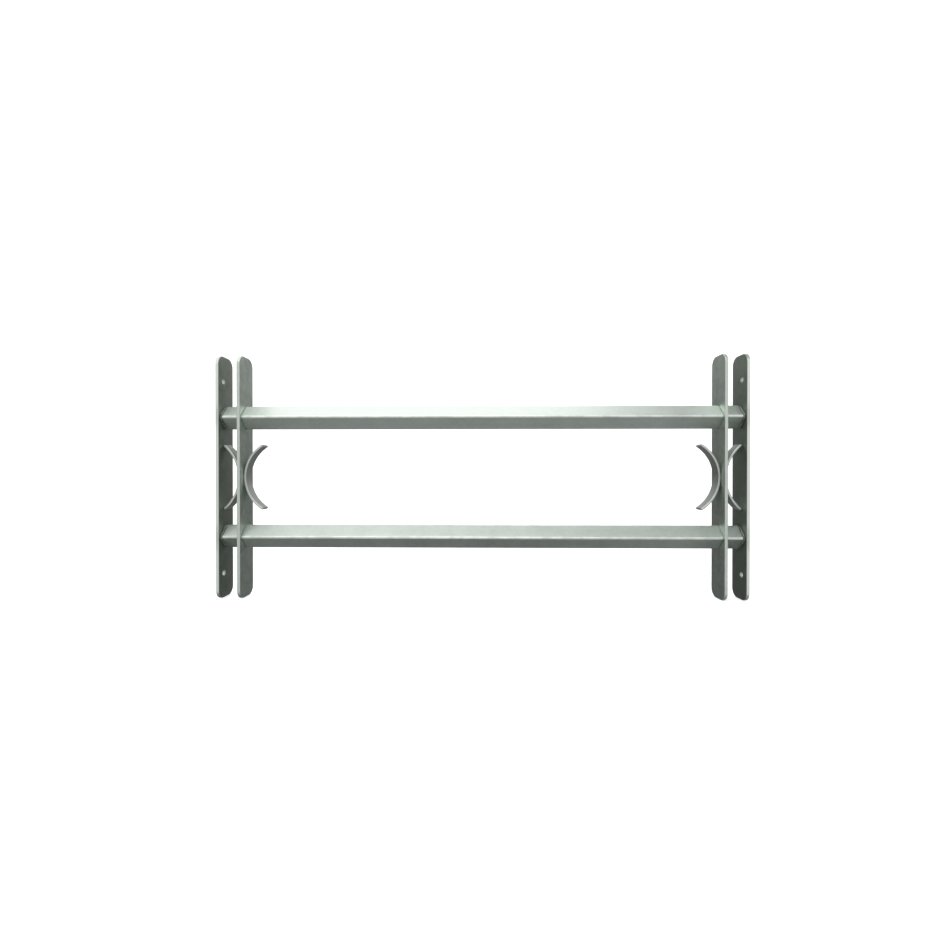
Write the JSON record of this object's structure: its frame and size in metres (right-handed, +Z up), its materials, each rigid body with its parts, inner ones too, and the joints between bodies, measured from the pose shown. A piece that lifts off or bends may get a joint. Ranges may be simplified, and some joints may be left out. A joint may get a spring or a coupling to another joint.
{
  "type": "extendable window security bar",
  "caption": "Extendable window security grille: telescoping square steel rails between screwed end plates, with sliding bars that carry arc ornaments.",
  "frame": {"origin": "middle of the bar's box when it is pushed together: halfway between the end plates, halfway between the rails", "axes": "+X along the rails to the right as seen from the room, +Y away from the room, out of the window, +Z up"},
  "size_m": [0.656, 0.035, 0.304],
  "materials": {
    "outer_tube_zinc": "galvanised steel tube, satin",
    "inner_tube_zinc": "galvanised steel tube, satin, rubbed bright along the edges",
    "flat_bar_zinc": "galvanised flat steel bar, satin",
    "weld_metal": "zinc-coated weld bead, dull"
  },
  "bodies": {
    "rails": {"upper_sleeve": "outer_tube_zinc", "lower_sleeve": "outer_tube_zinc"},
    "left_frame": {"left_end_plate": "flat_bar_zinc", "left_upper_slide_tube": "inner_tube_zinc", "left_lower_slide_tube": "inner_tube_zinc", "left_upper_weld": "weld_metal", "left_lower_weld": "weld_metal"},
    "right_frame": {"right_end_plate": "flat_bar_zinc", "right_upper_slide_tube": "inner_tube_zinc", "right_lower_slide_tube": "inner_tube_zinc", "right_upper_weld": "weld_metal", "right_lower_weld": "weld_metal"},
    "left_ornament": {"left_ornament_bar": "flat_bar_zinc", "left_outer_arc": "flat_bar_zinc", "left_inner_arc": "flat_bar_zinc", "left_outer_arc_weld": "weld_metal", "left_inner_arc_weld": "weld_metal"},
    "right_ornament": {"right_ornament_bar": "flat_bar_zinc", "right_outer_arc": "flat_bar_zinc", "right_inner_arc": "flat_bar_zinc", "right_outer_arc_weld": "weld_metal", "right_inner_arc_weld": "weld_metal"}
  },
  "joints": [
    {"name": "left_end_slide", "type": "slide", "parent": "rails", "child": "left_frame", "axis": [-1, 0, 0], "range_m": [0, 0.235]},
    {"name": "right_end_slide", "type": "slide", "parent": "rails", "child": "right_frame", "axis": [1, 0, 0], "range_m": [0, 0.235]},
    {"name": "left_ornament_slide", "type": "slide", "parent": "rails", "child": "left_ornament", "axis": [1, 0, 0], "range_m": [0, 0.26]},
    {"name": "right_ornament_slide", "type": "slide", "parent": "rails", "child": "right_ornament", "axis": [-1, 0, 0], "range_m": [0, 0.26]}
  ]
}
